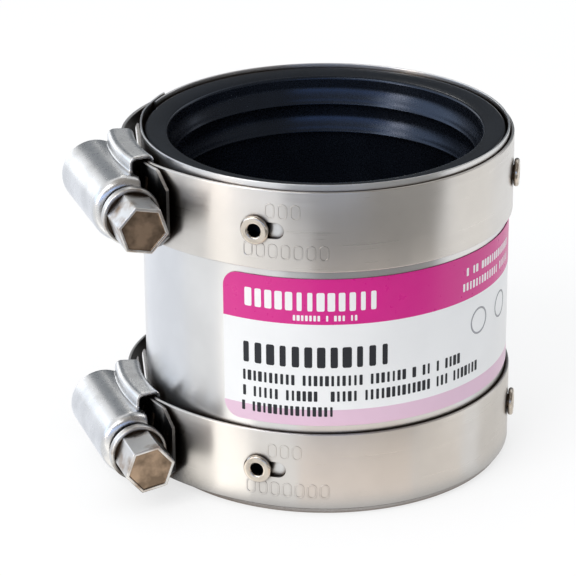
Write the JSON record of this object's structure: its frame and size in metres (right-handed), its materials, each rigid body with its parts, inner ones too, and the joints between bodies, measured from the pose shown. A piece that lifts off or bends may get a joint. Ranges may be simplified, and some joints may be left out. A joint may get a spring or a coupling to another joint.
{
  "type": "shielded coupling",
  "caption": "Pipe coupling: a ribbed rubber sleeve with a middle stop in a rolled steel shield, drawn tight by a worm-drive clamp at each end.",
  "frame": {"origin": "the centre of the part's box, on the plane that the coupling stands on", "axes": "+Z along the pipe's axis, from the lower clamp to the upper; the clamp housings are on the -X side, and their screws lie along Y with the hexagon heads towards -Y. The pipe's axis is at X = +5.325 mm, Y = 0"},
  "size_m": [0.0698, 0.0592, 0.054],
  "materials": {
    "black_rubber": "satin moulded rubber",
    "stainless_sheet": "rolled stainless sheet, fine brushing round the pipe's axis",
    "printed_label": "white film label with printed colour bands",
    "bright_band": "bright stainless strip",
    "zinc_plate": "bright zinc plate",
    "rivet_steel": "bright pressed steel"
  },
  "bodies": {
    "coupling": {"rubber_sleeve": "black_rubber", "shield": "stainless_sheet", "label": "printed_label", "upper_band": "bright_band", "upper_housing": "zinc_plate", "upper_front_rivet": "rivet_steel", "upper_side_rivet": "rivet_steel", "lower_band": "bright_band", "lower_housing": "zinc_plate", "lower_front_rivet": "rivet_steel", "lower_side_rivet": "rivet_steel"},
    "upper_screw": {"upper_screw": "zinc_plate"},
    "lower_screw": {"lower_screw": "zinc_plate"}
  },
  "joints": [
    {"name": "upper_screw_turn", "type": "hinge", "parent": "coupling", "child": "upper_screw", "pos_m": [-0.02967, 0, 0.0467], "axis": [0, 1, 0], "range_deg": [-540, 1080]},
    {"name": "lower_screw_turn", "type": "hinge", "parent": "coupling", "child": "lower_screw", "pos_m": [-0.02967, 0, 0.0073], "axis": [0, 1, 0], "range_deg": [-540, 1080]}
  ]
}
